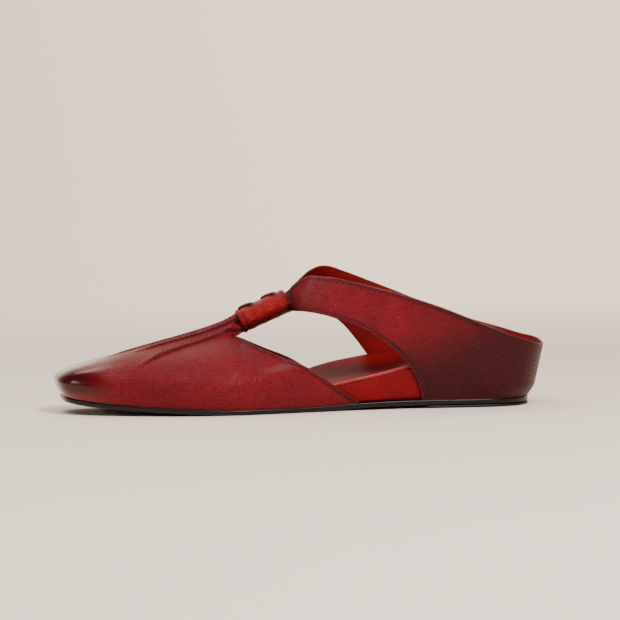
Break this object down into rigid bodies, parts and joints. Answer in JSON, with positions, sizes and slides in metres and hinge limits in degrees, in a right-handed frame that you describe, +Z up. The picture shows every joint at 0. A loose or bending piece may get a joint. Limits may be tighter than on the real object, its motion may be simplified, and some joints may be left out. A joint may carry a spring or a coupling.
{
  "type": "leather mule slipper",
  "caption": "Flat square-toed leather mule for the left foot, its pleated vamp joined by a rolled keeper to an open-sided rear strap on a low covered wedge.",
  "frame": {"origin": "middle of the shoe's bounding box in plan, on the floor that the sole stands on", "axes": "-X towards the toe, -Y towards the outer (lateral) side, +Z up"},
  "size_m": [0.2562, 0.0816, 0.0736],
  "materials": {
    "outsole": "polished",
    "top_lift": "matte",
    "wedge_cover": "smooth",
    "insole": "smooth",
    "upper": "burnished grain",
    "keeper": "burnished grain",
    "thong": "glossy"
  },
  "bodies": {
    "root": {"outsole": "outsole", "top_lift": "top_lift", "wedge": "wedge_cover", "insole": "insole", "upper": "upper", "keeper": "keeper", "thong_front": "thong", "thong_rear": "thong"}
  },
  "joints": []
}
